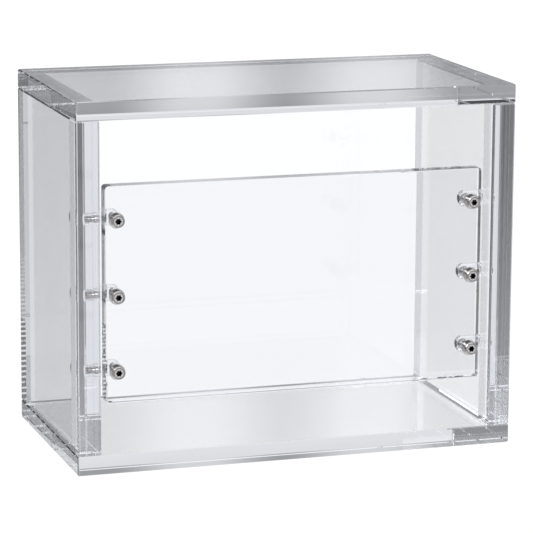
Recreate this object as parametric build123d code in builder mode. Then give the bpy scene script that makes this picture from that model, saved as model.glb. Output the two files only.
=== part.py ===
from build123d import *
import os

# Clear acrylic display case for boxed and sleeved trading cards.
# Millimetres, +Z up, front towards -Y, origin at the centre of the base's underside.

# ---- overall size ----
case_width = 189.0
case_depth = 101.0
case_height = 154.0
corner_radius = 0.8       # vertical outer corners
polish = 0.45             # flame-polished arris on every panel edge
post_arris = 0.9          # rounded inner front edge of each post
bond_gap = 0.05           # cement line between two panels

# ---- panels ----
slab_thickness = 8.0      # base and top
wall_thickness = 10.0     # side walls, back panel and front posts

# ---- front plate ----
plate_width = 163.0
plate_height = 90.0
plate_thickness = 7.0
plate_bottom = 28.7
plate_front_inset = 3.4   # from the case's front plane to the plate's front face
plate_corner_radius = 1.5

# ---- plate screws (M3, six-lobe recess) ----
screw_inset = 17.6        # from the case's outer side to the screw's axis
screw_heights = (41.9, 73.3, 104.7)
head_diameter = 5.5
head_length = 2.6
head_face_inset = 0.3     # head's face behind the case's front plane
shank_diameter = 3.0
recess_radius = 1.4
recess_depth = 1.7

screw_grip = 2.8          # length of the shank behind the plate, in its lug

# ---- washers between head and plate ----
washer_diameter = 6.6
washer_bore = 3.2

# ---- clear round lugs behind the plate, one at each screw, lying along X ----
lug_length = 10.5         # from the side wall's inner face
lug_diameter = 6.8
lug_end_radius = 2.4
lug_clearance = 0.1       # between the plate's back face and the lug

# ---- threaded wall studs, one in the side wall at each lug ----
stud_drop = 0.0           # axis of the stud and lug below the screw's axis
stud_thread_diameter = 4.8
stud_thread_start = 5.4   # from the case's outer side to the stud's inner end
stud_flange_start = 9.2
stud_flange_diameter = 5.5
stud_nose = 1.0           # length of the flange that stands in the lug
stud_pitch = 0.76

front_y = -case_depth / 2
back_y = case_depth / 2
half_width = case_width / 2
side_bottom = slab_thickness + bond_gap
side_top = case_height - slab_thickness - bond_gap
side_height = side_top - side_bottom
post_back_y = front_y + wall_thickness
wall_front_y = post_back_y + bond_gap
wall_back_y = back_y - wall_thickness - bond_gap
wall_depth = wall_back_y - wall_front_y
wall_mid_y = (wall_front_y + wall_back_y) / 2
wall_mid_x = half_width - wall_thickness / 2
plate_front_y = front_y + plate_front_inset
plate_back_y = plate_front_y + plate_thickness
plate_mid_z = plate_bottom + plate_height / 2
screw_x = half_width - screw_inset
lug_front_y = plate_back_y + lug_clearance
stud_y = lug_front_y + lug_diameter / 2
wall_inner_x = half_width - wall_thickness
head_face_y = front_y + head_face_inset
head_back_y = head_face_y + head_length

os.makedirs("parts", exist_ok=True)


# ---- base and top slabs ----
with BuildPart() as base_panel:
    with BuildSketch(Plane.XY):
        RectangleRounded(case_width, case_depth, corner_radius)
    extrude(amount=slab_thickness)
    chamfer(base_panel.faces().filter_by(Axis.Z).edges(), polish)

with BuildPart() as top_panel:
    with BuildSketch(Plane.XY.offset(case_height - slab_thickness)):
        RectangleRounded(case_width, case_depth, corner_radius)
    extrude(amount=slab_thickness)
    chamfer(top_panel.faces().filter_by(Axis.Z).edges(), polish)

# ---- side walls, between the slabs, behind the posts ----
with BuildPart() as left_wall:
    with BuildSketch(Plane.XY.offset(side_bottom)):
        with Locations((-wall_mid_x, wall_mid_y)):
            Rectangle(wall_thickness, wall_depth)
    extrude(amount=side_height)
    chamfer(left_wall.faces().filter_by(Axis.Z).edges(), polish)
    for height in screw_heights:
        pocket_plane = Plane(
            origin=(-wall_inner_x, stud_y, height - stud_drop), x_dir=(0, 1, 0), z_dir=(-1, 0, 0)
        )
        with BuildSketch(pocket_plane):
            Circle(stud_thread_diameter / 2 + 0.05)
        extrude(amount=half_width - stud_thread_start - wall_inner_x + 0.05, mode=Mode.SUBTRACT)
        with BuildSketch(pocket_plane):
            Circle(stud_flange_diameter / 2 + 0.05)
        extrude(amount=half_width - stud_flange_start - wall_inner_x + 0.05, mode=Mode.SUBTRACT)

with BuildPart() as right_wall:
    with BuildSketch(Plane.XY.offset(side_bottom)):
        with Locations((wall_mid_x, wall_mid_y)):
            Rectangle(wall_thickness, wall_depth)
    extrude(amount=side_height)
    chamfer(right_wall.faces().filter_by(Axis.Z).edges(), polish)
    for height in screw_heights:
        pocket_plane = Plane(
            origin=(wall_inner_x, stud_y, height - stud_drop), x_dir=(0, 1, 0), z_dir=(1, 0, 0)
        )
        with BuildSketch(pocket_plane):
            Circle(stud_thread_diameter / 2 + 0.05)
        extrude(amount=half_width - stud_thread_start - wall_inner_x + 0.05, mode=Mode.SUBTRACT)
        with BuildSketch(pocket_plane):
            Circle(stud_flange_diameter / 2 + 0.05)
        extrude(amount=half_width - stud_flange_start - wall_inner_x + 0.05, mode=Mode.SUBTRACT)

# ---- back panel, laid over the back edges of the side walls ----
with BuildPart() as back_panel:
    with BuildSketch(Plane.XY.offset(side_bottom)):
        with Locations((0, back_y - wall_thickness / 2)):
            Rectangle(case_width, wall_thickness)
    extrude(amount=side_height)
    fillet(
        back_panel.edges().filter_by(Axis.Z).group_by(Axis.Y)[-1], corner_radius
    )
    chamfer(back_panel.faces().filter_by(Axis.Z).edges(), polish)

# ---- front posts ----
with BuildPart() as left_front_post:
    with BuildSketch(Plane.XY.offset(side_bottom)):
        with Locations((-wall_mid_x, front_y + wall_thickness / 2)):
            Rectangle(wall_thickness, wall_thickness)
    extrude(amount=side_height)
    fillet(
        left_front_post.edges().filter_by(Axis.Z).group_by(Axis.Y)[0].sort_by(Axis.X)[0],
        corner_radius,
    )
    fillet(
        left_front_post.edges().filter_by(Axis.Z).group_by(Axis.Y)[0].sort_by(Axis.X)[-1],
        post_arris,
    )
    chamfer(left_front_post.faces().filter_by(Axis.Z).edges(), polish)

with BuildPart() as right_front_post:
    with BuildSketch(Plane.XY.offset(side_bottom)):
        with Locations((wall_mid_x, front_y + wall_thickness / 2)):
            Rectangle(wall_thickness, wall_thickness)
    extrude(amount=side_height)
    fillet(
        right_front_post.edges().filter_by(Axis.Z).group_by(Axis.Y)[0].sort_by(Axis.X)[-1],
        corner_radius,
    )
    fillet(
        right_front_post.edges().filter_by(Axis.Z).group_by(Axis.Y)[0].sort_by(Axis.X)[0],
        post_arris,
    )
    chamfer(right_front_post.faces().filter_by(Axis.Z).edges(), polish)

# ---- wall studs: a ringed thread in the wall and a domed flange at its mouth ----
def stud_profile(side, height):
    def point(inset, radius):
        return (side * (half_width - inset), stud_y, height + radius)

    outer = stud_thread_diameter / 2
    root = outer - 0.42
    points = [point(stud_thread_start, 0), point(stud_thread_start, root)]
    rings = int((stud_flange_start - stud_thread_start) / stud_pitch)
    for ring in range(rings):
        start = stud_thread_start + ring * stud_pitch
        points.append(point(start + 0.30 * stud_pitch, outer))
        points.append(point(start + 0.55 * stud_pitch, outer))
        points.append(point(start + 0.95 * stud_pitch, root))
    points.append(point(stud_flange_start, root))
    flange = stud_flange_diameter / 2
    end = wall_thickness + stud_nose
    points.append(point(stud_flange_start + 0.10, flange * 0.90))
    points.append(point(stud_flange_start + 0.40, flange))
    points.append(point(end - 0.35, flange))
    points.append(point(end, flange * 0.86))
    points.append(point(end, 0))
    return points


with BuildPart() as wall_studs_left:
    for height in screw_heights:
        points = stud_profile(-1, height - stud_drop)
        with BuildSketch(Plane(origin=(0, stud_y, 0), x_dir=(1, 0, 0), z_dir=(0, -1, 0))):
            with BuildLine():
                Polyline(*[(x, z) for x, y, z in points], close=True)
            make_face()
        revolve(axis=Axis((0, stud_y, height - stud_drop), (1, 0, 0)))

with BuildPart() as wall_studs_right:
    for height in screw_heights:
        points = stud_profile(1, height - stud_drop)
        with BuildSketch(Plane(origin=(0, stud_y, 0), x_dir=(1, 0, 0), z_dir=(0, -1, 0))):
            with BuildLine():
                Polyline(*[(x, z) for x, y, z in points], close=True)
            make_face()
        revolve(axis=Axis((0, stud_y, height - stud_drop), (1, 0, 0)))

# ---- clear lugs: cemented to the walls, a blind screw hole in front, a stud pocket at the wall ----
with BuildPart() as plate_lugs_left:
    for height in screw_heights:
        with BuildSketch(
            Plane(origin=(-(wall_inner_x - bond_gap), stud_y, height - stud_drop), x_dir=(0, 1, 0), z_dir=(1, 0, 0))
        ):
            Circle(lug_diameter / 2)
        extrude(amount=lug_length - bond_gap)
    fillet(
        [edge for edge in plate_lugs_left.edges().filter_by(GeomType.CIRCLE)
         if abs(edge.center().X) < wall_inner_x - lug_length / 2],
        lug_end_radius,
    )
    for height in screw_heights:
        with BuildSketch(
            Plane(origin=(-screw_x, lug_front_y, height), x_dir=(1, 0, 0), z_dir=(0, -1, 0))
        ):
            Circle((shank_diameter + 0.1) / 2)
        extrude(amount=-(screw_grip + 0.6), mode=Mode.SUBTRACT)
        with BuildSketch(
            Plane(origin=(-wall_inner_x, stud_y, height - stud_drop), x_dir=(0, 1, 0), z_dir=(1, 0, 0))
        ):
            Circle(stud_flange_diameter / 2 + 0.05)
        extrude(amount=stud_nose + 0.1, mode=Mode.SUBTRACT)

with BuildPart() as plate_lugs_right:
    for height in screw_heights:
        with BuildSketch(
            Plane(origin=(wall_inner_x - bond_gap, stud_y, height - stud_drop), x_dir=(0, 1, 0), z_dir=(-1, 0, 0))
        ):
            Circle(lug_diameter / 2)
        extrude(amount=lug_length - bond_gap)
    fillet(
        [edge for edge in plate_lugs_right.edges().filter_by(GeomType.CIRCLE)
         if abs(edge.center().X) < wall_inner_x - lug_length / 2],
        lug_end_radius,
    )
    for height in screw_heights:
        with BuildSketch(
            Plane(origin=(screw_x, lug_front_y, height), x_dir=(1, 0, 0), z_dir=(0, -1, 0))
        ):
            Circle((shank_diameter + 0.1) / 2)
        extrude(amount=-(screw_grip + 0.6), mode=Mode.SUBTRACT)
        with BuildSketch(
            Plane(origin=(wall_inner_x, stud_y, height - stud_drop), x_dir=(0, 1, 0), z_dir=(-1, 0, 0))
        ):
            Circle(stud_flange_diameter / 2 + 0.05)
        extrude(amount=stud_nose + 0.1, mode=Mode.SUBTRACT)

# ---- front plate with six screw holes ----
plate_plane = Plane(
    origin=(0, plate_front_y, plate_mid_z), x_dir=(1, 0, 0), z_dir=(0, -1, 0)
)
hole_points = [
    (side * screw_x, height - plate_mid_z)
    for side in (-1, 1)
    for height in screw_heights
]
with BuildPart() as front_plate:
    with BuildSketch(plate_plane):
        RectangleRounded(plate_width, plate_height, plate_corner_radius)
        with Locations(*hole_points):
            Circle((shank_diameter + 0.1) / 2, mode=Mode.SUBTRACT)
    extrude(amount=-plate_thickness)
    outer_rims = front_plate.faces().filter_by(Axis.Y)
    chamfer(
        [edge for face in outer_rims for edge in face.outer_wire().edges()], polish
    )

# ---- washers ----
washer_plane = Plane(
    origin=(0, head_back_y, plate_mid_z), x_dir=(1, 0, 0), z_dir=(0, -1, 0)
)
washer_length = plate_front_y - head_back_y - 0.02
with BuildPart() as plate_washers:
    with BuildSketch(washer_plane):
        with Locations(*hole_points):
            Circle(washer_diameter / 2)
        with Locations(*hole_points):
            Circle(washer_bore / 2, mode=Mode.SUBTRACT)
    extrude(amount=-washer_length)

washers = plate_washers.part
washers.label = "plate_washers"

# ---- plate screws ----
screws = {}
for side_name, side in (("left", -1), ("right", 1)):
    for level_name, height in zip(("lower", "middle", "upper"), screw_heights):
        face_plane = Plane(
            origin=(side * screw_x, head_face_y, height),
            x_dir=(1, 0, 0),
            z_dir=(0, -1, 0),
        )
        shank_end = plate_back_y + screw_grip - head_face_y
        with BuildPart() as plate_screw:
            with BuildSketch(face_plane):
                Circle(head_diameter / 2)
            extrude(amount=-head_length)
            chamfer(
                plate_screw.faces().sort_by(Axis.Y)[0].edges(), 0.35
            )
            with BuildSketch(face_plane.offset(-head_length)):
                Circle(shank_diameter / 2)
            extrude(amount=-(shank_end - head_length))
            with BuildSketch(face_plane):
                Circle(recess_radius * 0.78)
                with PolarLocations(recess_radius * 0.76, 6):
                    Circle(recess_radius * 0.24)
            extrude(amount=-recess_depth, mode=Mode.SUBTRACT)
        name = f"plate_screw_{side_name}_{level_name}"
        plate_screw.part.label = name
        screws[name] = plate_screw.part

base_panel.part.label = "base_panel"
top_panel.part.label = "top_panel"
left_wall.part.label = "left_wall"
right_wall.part.label = "right_wall"
back_panel.part.label = "back_panel"
left_front_post.part.label = "left_front_post"
right_front_post.part.label = "right_front_post"
front_plate.part.label = "front_plate"
wall_studs_left.part.label = "wall_studs_left"
wall_studs_right.part.label = "wall_studs_right"
plate_lugs_left.part.label = "plate_lugs_left"
plate_lugs_right.part.label = "plate_lugs_right"

export_step(base_panel.part, "parts/base_panel.step")
export_step(top_panel.part, "parts/top_panel.step")
export_step(left_wall.part, "parts/left_wall.step")
export_step(right_wall.part, "parts/right_wall.step")
export_step(back_panel.part, "parts/back_panel.step")
export_step(left_front_post.part, "parts/left_front_post.step")
export_step(right_front_post.part, "parts/right_front_post.step")
export_step(front_plate.part, "parts/front_plate.step")
export_step(wall_studs_left.part, "parts/wall_studs_left.step")
export_step(wall_studs_right.part, "parts/wall_studs_right.step")
export_step(plate_lugs_left.part, "parts/plate_lugs_left.step")
export_step(plate_lugs_right.part, "parts/plate_lugs_right.step")
export_step(washers, "parts/plate_washers.step")
for name, screw in screws.items():
    export_step(screw, f"parts/{name}.step")
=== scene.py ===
import math

import bpy
from mathutils import Matrix, Vector

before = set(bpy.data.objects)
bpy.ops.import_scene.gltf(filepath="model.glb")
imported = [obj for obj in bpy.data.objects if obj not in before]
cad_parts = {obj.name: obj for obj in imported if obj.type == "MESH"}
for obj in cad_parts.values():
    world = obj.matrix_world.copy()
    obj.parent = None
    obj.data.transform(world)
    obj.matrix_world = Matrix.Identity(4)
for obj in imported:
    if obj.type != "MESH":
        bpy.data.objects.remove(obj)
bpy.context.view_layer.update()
scene = bpy.context.scene


def clear_nodes(material):
    material.use_nodes = True
    tree = material.node_tree
    tree.nodes.clear()
    return tree


def math_node(tree, operation, a, b=None, clamp=False):
    node = tree.nodes.new("ShaderNodeMath")
    node.operation = operation
    node.use_clamp = clamp
    for index, value in enumerate((a, b)):
        if value is None:
            continue
        if isinstance(value, (int, float)):
            node.inputs[index].default_value = value
        else:
            tree.links.new(value, node.inputs[index])
    return node.outputs[0]


# ---- clear acrylic ----
def acrylic(name, tint, haze):
    material = bpy.data.materials.new(name)
    tree = clear_nodes(material)
    out = tree.nodes.new("ShaderNodeOutputMaterial")
    shader = tree.nodes.new("ShaderNodeBsdfPrincipled")
    shader.inputs["IOR"].default_value = 1.49
    shader.inputs["Transmission Weight"].default_value = 1.0
    shader.inputs["Metallic"].default_value = 0.0
    coord = tree.nodes.new("ShaderNodeTexCoord")
    fine = tree.nodes.new("ShaderNodeTexNoise")
    fine.inputs["Scale"].default_value = 60.0
    fine.inputs["Detail"].default_value = 4.0
    tree.links.new(coord.outputs["Object"], fine.inputs["Vector"])
    ramp = tree.nodes.new("ShaderNodeValToRGB")
    ramp.color_ramp.elements[0].position = 0.3
    ramp.color_ramp.elements[0].color = (tint[0] * 0.994, tint[1] * 0.996, tint[2], 1)
    ramp.color_ramp.elements[1].position = 0.7
    ramp.color_ramp.elements[1].color = (*tint, 1)
    tree.links.new(fine.outputs["Fac"], ramp.inputs["Fac"])
    tree.links.new(ramp.outputs["Color"], shader.inputs["Base Color"])
    rough = math_node(tree, "MULTIPLY", fine.outputs["Fac"], haze)
    tree.links.new(rough, shader.inputs["Roughness"])
    tree.links.new(shader.outputs["BSDF"], out.inputs["Surface"])
    return material


def steel(name, screw=None):
    """bright stainless steel; a screw also gets painted shade, a near-black base colour in its recess, under its
    head and in a thin ring on its face
    """
    material = bpy.data.materials.new(name)
    tree = clear_nodes(material)
    out = tree.nodes.new("ShaderNodeOutputMaterial")
    shader = tree.nodes.new("ShaderNodeBsdfPrincipled")
    shader.inputs["Metallic"].default_value = 1.0
    coord = tree.nodes.new("ShaderNodeTexCoord")
    grain = tree.nodes.new("ShaderNodeTexNoise")
    grain.inputs["Scale"].default_value = 2600.0
    grain.inputs["Detail"].default_value = 3.0
    tree.links.new(coord.outputs["Object"], grain.inputs["Vector"])
    ramp = tree.nodes.new("ShaderNodeValToRGB")
    ramp.color_ramp.elements[0].position = 0.3
    ramp.color_ramp.elements[0].color = (0.56, 0.535, 0.52, 1)
    ramp.color_ramp.elements[1].position = 0.7
    ramp.color_ramp.elements[1].color = (0.76, 0.735, 0.72, 1)
    tree.links.new(grain.outputs["Fac"], ramp.inputs["Fac"])
    colour = ramp.outputs["Color"]
    if screw is not None:
        middle_x, middle_z, front = screw
        split = tree.nodes.new("ShaderNodeSeparateXYZ")
        tree.links.new(coord.outputs["Object"], split.inputs[0])
        x = math_node(tree, "SUBTRACT", split.outputs[0], middle_x)
        z = math_node(tree, "SUBTRACT", split.outputs[2], middle_z)
        radius = math_node(tree, "SQRT", math_node(
            tree, "ADD", math_node(tree, "MULTIPLY", x, x), math_node(tree, "MULTIPLY", z, z)))
        depth = math_node(tree, "SUBTRACT", split.outputs[1], front)
        # painted shade: an object-space mask gives a near-black base colour to the head's recess, the join under
        # the head and a thin ring on the head face, in place of the shade that falls there
        recess_painted_shade = math_node(tree, "MULTIPLY", math_node(tree, "LESS_THAN", radius, 0.00158),
                              math_node(tree, "GREATER_THAN", depth, 0.00012))
        seam_painted_shade = math_node(tree, "MULTIPLY", math_node(tree, "GREATER_THAN", depth, 0.0025),
                         math_node(tree, "GREATER_THAN", radius, 0.0026))
        groove_painted_shade = math_node(tree, "MULTIPLY", math_node(tree, "GREATER_THAN", radius, 0.00195),
                           math_node(tree, "LESS_THAN", radius, 0.00225))
        groove_painted_shade = math_node(tree, "MULTIPLY", groove_painted_shade, math_node(tree, "LESS_THAN", depth, 0.0003))
        painted_shade = math_node(tree, "MAXIMUM", math_node(tree, "MAXIMUM", recess_painted_shade, seam_painted_shade),
                         math_node(tree, "MULTIPLY", groove_painted_shade, 0.8))
        shade = tree.nodes.new("ShaderNodeMix")
        shade.data_type = "RGBA"
        tree.links.new(painted_shade, shade.inputs["Factor"])
        pair = [socket for socket in shade.inputs if socket.type == "RGBA"]
        tree.links.new(colour, pair[0])
        # near-black base colour of the painted shade
        pair[1].default_value = (0.012, 0.011, 0.011, 1)
        colour = [socket for socket in shade.outputs if socket.type == "RGBA"][0]
    tree.links.new(colour, shader.inputs["Base Color"])
    rough = math_node(tree, "MULTIPLY", grain.outputs["Fac"], 0.14)
    rough = math_node(tree, "ADD", rough, 0.05)
    tree.links.new(rough, shader.inputs["Roughness"])
    bump = tree.nodes.new("ShaderNodeBump")
    bump.inputs["Strength"].default_value = 0.08
    bump.inputs["Distance"].default_value = 0.00005
    tree.links.new(grain.outputs["Fac"], bump.inputs["Height"])
    tree.links.new(bump.outputs["Normal"], shader.inputs["Normal"])
    tree.links.new(shader.outputs["BSDF"], out.inputs["Surface"])
    return material


clear = acrylic("clear_acrylic", (0.988, 0.992, 1.0), 0.004)
plate_clear = acrylic("plate_acrylic", (0.935, 0.940, 0.950), 0.012)
stainless = steel("stainless_steel")


def give(node, material):
    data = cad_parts[node].data
    if not data.materials:
        data.materials.append(material)
    for index in range(len(data.materials)):
        data.materials[index] = material


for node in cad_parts:
    if node.startswith("plate_screw"):
        corners = [vertex.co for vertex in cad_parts[node].data.vertices]
        spans = [(min(c[i] for c in corners), max(c[i] for c in corners)) for i in range(3)]
        axis = (sum(spans[0]) / 2, sum(spans[2]) / 2, spans[1][0])
        give(node, steel("stainless_" + node, screw=axis))
        continue
    if node == "front_plate":
        give(node, plate_clear)
    elif node.startswith(("plate_washers", "wall_stud")):
        give(node, stainless)
    else:
        give(node, clear)

# ---- camera, at the photograph's viewing angle ----
unit = 0.00154
azimuth, elevation, roll = (math.radians(a) for a in (17.89, 11.63, 0.31))
forward = Vector((
    math.sin(azimuth) * math.cos(elevation),
    math.cos(azimuth) * math.cos(elevation),
    -math.sin(elevation),
))
right = forward.cross(Vector((0, 0, 1))).normalized()
up = right.cross(forward)
cam_right = right * math.cos(roll) + up * math.sin(roll)
cam_up = -right * math.sin(roll) + up * math.cos(roll)
target = Vector((0, 0, 50)) + right * 1.21 - up * 3.19
camera_data = bpy.data.cameras.new("camera")
camera_data.sensor_width = 36
camera_data.lens = 36 * 2937 / 533
camera_data.clip_start = 0.01
camera = bpy.data.objects.new("camera", camera_data)
scene.collection.objects.link(camera)
matrix = Matrix((cam_right, cam_up, -forward)).transposed().to_4x4()
matrix.translation = (target - forward * 815.9) * unit
camera.matrix_world = matrix
scene.camera = camera

# ---- floor ----
mesh = bpy.data.meshes.new("floor")
size = 6.0
mesh.from_pydata(
    [(-size, -size, -0.0004), (size, -size, -0.0004), (size, size, -0.0004), (-size, size, -0.0004)],
    [], [(0, 1, 2, 3)],
)
floor = bpy.data.objects.new("floor", mesh)
scene.collection.objects.link(floor)
floor_material = bpy.data.materials.new("floor")
tree = clear_nodes(floor_material)
out = tree.nodes.new("ShaderNodeOutputMaterial")
glow = tree.nodes.new("ShaderNodeEmission")
glow.inputs["Color"].default_value = (1, 1, 1, 1)
glow.inputs["Strength"].default_value = 1.05
tree.links.new(glow.outputs[0], out.inputs["Surface"])
mesh.materials.append(floor_material)
floor.visible_transmission = False
floor.visible_glossy = False

# ---- studio light ----
# A white backdrop all round for the camera and for light that goes straight through.
# Reflections see one plain room, set by direction alone: a floor lit behind the case and
# in front of it, a grey wall with two soft upright lights, a key and a fill in front,
# and a pale ceiling.
world = bpy.data.worlds.new("studio")
scene.world = world
world.use_nodes = True
tree = world.node_tree
tree.nodes.clear()


def m(operation, a, b=None, clamp=False):
    return math_node(tree, operation, a, b, clamp)


def ramp_up(value, low, high):
    node = tree.nodes.new("ShaderNodeMapRange")
    node.interpolation_type = "SMOOTHSTEP"
    tree.links.new(value, node.inputs["Value"])
    node.inputs["From Min"].default_value = low
    node.inputs["From Max"].default_value = high
    return node.outputs["Result"]


def window(value, low, high, soft):
    return m("MULTIPLY", ramp_up(value, low - soft, low + soft),
             m("SUBTRACT", 1.0, ramp_up(value, high - soft, high + soft)))


def blend(factor, a, b):
    """a where factor is 0, b where it is 1"""
    keep = m("SUBTRACT", 1.0, factor)
    return m("ADD", m("MULTIPLY", keep, a), m("MULTIPLY", factor, b))


coord = tree.nodes.new("ShaderNodeTexCoord")
parts = tree.nodes.new("ShaderNodeSeparateXYZ")
tree.links.new(coord.outputs["Generated"], parts.inputs[0])
dx, dy, dz = parts.outputs
az = m("MULTIPLY", m("ARCTAN2", dx, dy), 180 / math.pi)
el = m("MULTIPLY", m("ARCSINE", m("MINIMUM", m("MAXIMUM", dz, -1.0), 1.0)), 180 / math.pi)
down = m("MULTIPLY", el, -1.0)
behind = ramp_up(dy, 0.25, 0.45)

# above the horizon
uprights = m("ADD", window(az, 15.5, 17.5, 0.8), window(az, 19.0, 21.0, 0.8), clamp=True)
wall = m("ADD", m("MULTIPLY", uprights, 0.35), m("ADD", m("MULTIPLY", window(az, -50.0, 50.0, 15.0), 0.08), 0.25))
key = m("MULTIPLY", window(az, -165.0, -118.0, 4.0), window(el, 14.0, 48.0, 4.0))
fill = m("MULTIPLY", window(az, 95.0, 120.0, 4.0), window(el, 8.0, 40.0, 4.0))
front = m("ADD", m("ADD", m("MULTIPLY", key, 4.0), m("MULTIPLY", fill, 1.2)), 0.25)
high = blend(ramp_up(el, 50.0, 60.0), blend(behind, front, wall), 1.0)

# below the horizon
floor_back = blend(window(az, 4.0, 34.0, 9.0),
                   m("ADD", m("MULTIPLY", ramp_up(down, 8.0, 17.0), 0.24), 0.04), 0.76)
floor_front = m("ADD", m("MULTIPLY", ramp_up(m("ABSOLUTE", az), 115.0, 155.0), 0.56), 0.26)
low = blend(behind, floor_front, floor_back)
low = blend(ramp_up(down, 38.0, 46.0), low, 0.85)

tone = blend(ramp_up(el, -2.0, 2.0), low, high)
path = tree.nodes.new("ShaderNodeLightPath")
reflected = m("GREATER_THAN", path.outputs["Glossy Depth"], 0.5)
grey = tree.nodes.new("ShaderNodeCombineColor")
for index, cast in enumerate((0.975, 0.985, 1.02)):
    tree.links.new(m("MULTIPLY", tone, cast), grey.inputs[index])
mix = tree.nodes.new("ShaderNodeMix")
mix.data_type = "RGBA"
tree.links.new(reflected, mix.inputs["Factor"])
colours = [socket for socket in mix.inputs if socket.type == "RGBA"]
colours[0].default_value = (1.03, 1.03, 1.04, 1)
tree.links.new(grey.outputs[0], colours[1])
background = tree.nodes.new("ShaderNodeBackground")
tree.links.new([s for s in mix.outputs if s.type == "RGBA"][0], background.inputs["Color"])
background.inputs["Strength"].default_value = 1.0
out = tree.nodes.new("ShaderNodeOutputWorld")
tree.links.new(background.outputs[0], out.inputs["Surface"])

scene.view_settings.view_transform = "Standard"
scene.cycles.max_bounces = 48
scene.cycles.transmission_bounces = 48
scene.cycles.glossy_bounces = 32
scene.cycles.transparent_max_bounces = 32
